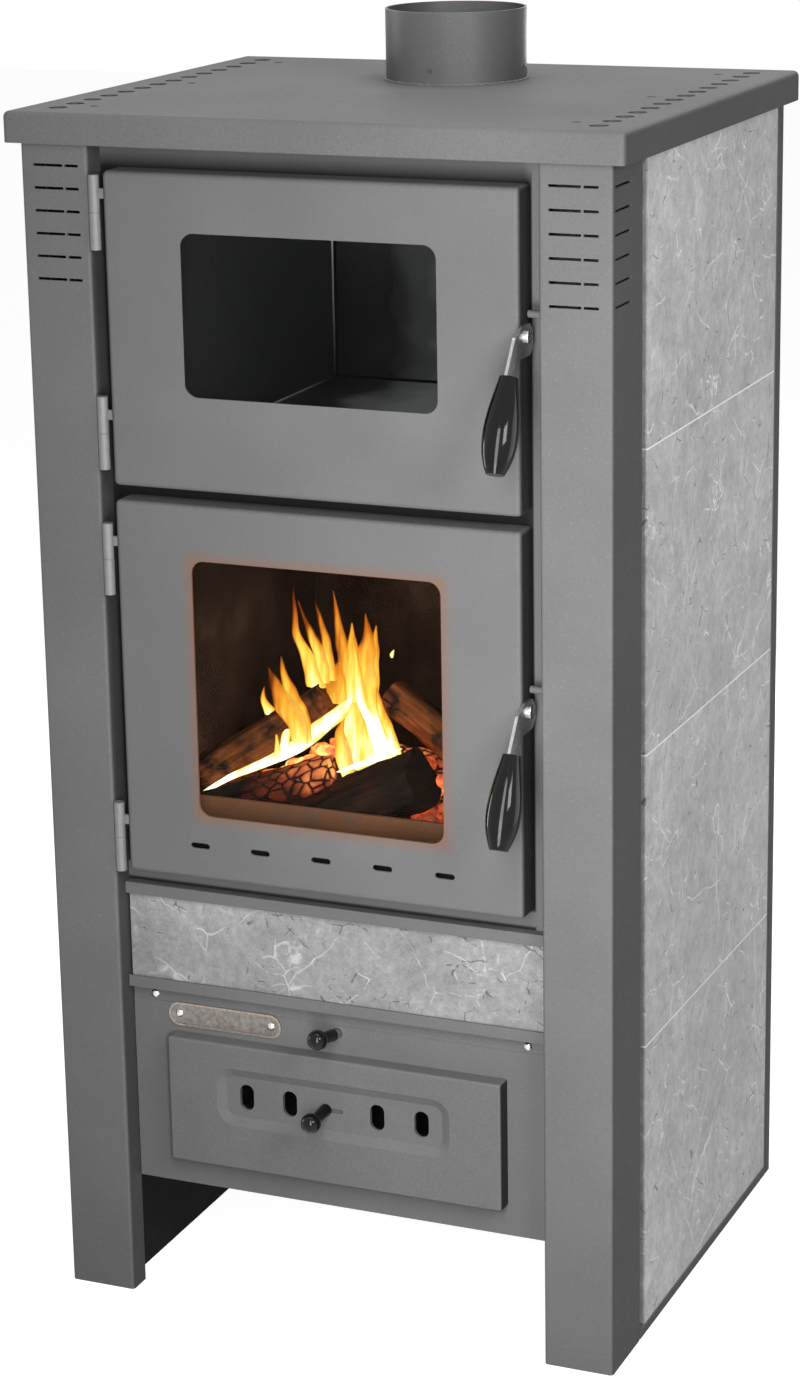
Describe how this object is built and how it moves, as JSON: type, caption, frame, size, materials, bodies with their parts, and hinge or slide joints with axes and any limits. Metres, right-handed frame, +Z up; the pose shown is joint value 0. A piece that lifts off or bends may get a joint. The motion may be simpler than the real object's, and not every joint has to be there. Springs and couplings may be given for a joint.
{
  "type": "wood stove with oven",
  "caption": "Free-standing sheet-steel wood stove with a glazed oven over a glazed firebox, an ash drawer below and stone-tiled sides; a round flue collar stands on top.",
  "frame": {"origin": "middle of the overall footprint, on the floor", "axes": "+Z up; the doors face -Y; +X is to the right of someone facing the doors"},
  "size_m": [0.526, 0.5142, 1.08],
  "materials": {
    "heat_paint": "satin",
    "stone_tile": "matte",
    "door_glass": "clear",
    "seal_rope": "braided",
    "grip_black": "gloss",
    "firebrick": "matte",
    "cast_iron": "matte",
    "plate_bronze": "satin",
    "bright_steel": "bright",
    "zinc_steel": "zinc",
    "inner_steel": "matte"
  },
  "bodies": {
    "root": {"top_plate": "heat_paint", "flue_collar": "heat_paint", "collar_rivets": "bright_steel", "left_front_post": "heat_paint", "right_front_post": "heat_paint", "left_rear_post": "heat_paint", "right_rear_post": "heat_paint", "left_base_rail": "heat_paint", "right_base_rail": "heat_paint", "left_side_tiles": "stone_tile", "right_side_tiles": "stone_tile", "left_side_panel": "heat_paint", "right_side_panel": "heat_paint", "back_panel": "heat_paint", "body_walls": "inner_steel", "base_skirts": "inner_steel", "bottom_plate": "inner_steel", "front_frame": "heat_paint", "strip_rails": "heat_paint", "strip_tile": "stone_tile", "lower_front_panel": "heat_paint", "panel_screws": "bright_steel", "name_plate": "plate_bronze", "plate_rivets": "bright_steel", "oven_liner": "inner_steel", "left_firebricks": "firebrick", "right_firebricks": "firebrick", "back_firebricks": "firebrick", "grate_bed_plate": "cast_iron", "grate_runners": "zinc_steel", "log_guard": "cast_iron", "drawer_runners": "zinc_steel", "hinge_pins": "zinc_steel", "latch_strikers": "zinc_steel"},
    "grate": {"moving_grate": "cast_iron", "grate_rod": "zinc_steel", "grate_knob": "grip_black"},
    "ash_drawer": {"ash_drawer_front": "heat_paint", "ash_drawer_box": "inner_steel", "shutter_guides": "inner_steel"},
    "air_shutter": {"air_shutter": "inner_steel", "shutter_knob": "grip_black"},
    "oven_door": {"oven_door_pan": "heat_paint", "oven_glass": "door_glass", "oven_glass_clips": "zinc_steel", "oven_door_liner": "heat_paint", "oven_door_seal": "seal_rope", "oven_door_knuckles": "zinc_steel", "oven_latch_bolt": "bright_steel"},
    "oven_latch": {"oven_handle_lever": "zinc_steel", "oven_handle_grip": "grip_black"},
    "fire_door": {"fire_door_pan": "heat_paint", "fire_glass": "door_glass", "fire_glass_clips": "zinc_steel", "fire_door_liner": "heat_paint", "fire_door_seal": "seal_rope", "fire_door_knuckles": "zinc_steel", "fire_latch_bolt": "bright_steel"},
    "fire_latch": {"fire_handle_lever": "zinc_steel", "fire_handle_grip": "grip_black"}
  },
  "joints": [
    {"name": "oven_door_hinge", "type": "hinge", "parent": "root", "child": "oven_door", "pos_m": [-0.186, -0.18794, 0.848], "axis": [0, 0, -1], "range_deg": [0, 120]},
    {"name": "oven_latch_turn", "type": "hinge", "parent": "oven_door", "child": "oven_latch", "pos_m": [0.17895, -0.18334, 0.861], "axis": [-1, 0, 0], "range_deg": [0, 65]},
    {"name": "fire_door_hinge", "type": "hinge", "parent": "root", "child": "fire_door", "pos_m": [-0.186, -0.18794, 0.54925], "axis": [0, 0, -1], "range_deg": [0, 120]},
    {"name": "fire_latch_turn", "type": "hinge", "parent": "fire_door", "child": "fire_latch", "pos_m": [0.17895, -0.18334, 0.56225], "axis": [-1, 0, 0], "range_deg": [0, 65]},
    {"name": "ash_drawer_slide", "type": "slide", "parent": "root", "child": "ash_drawer", "axis": [0, -1, 0], "range_m": [0, 0.26]},
    {"name": "air_shutter_slide", "type": "slide", "parent": "ash_drawer", "child": "air_shutter", "axis": [1, 0, 0], "range_m": [0, 0.014]},
    {"name": "grate_shake", "type": "slide", "parent": "root", "child": "grate", "axis": [0, -1, 0], "range_m": [0, 0.035]}
  ]
}
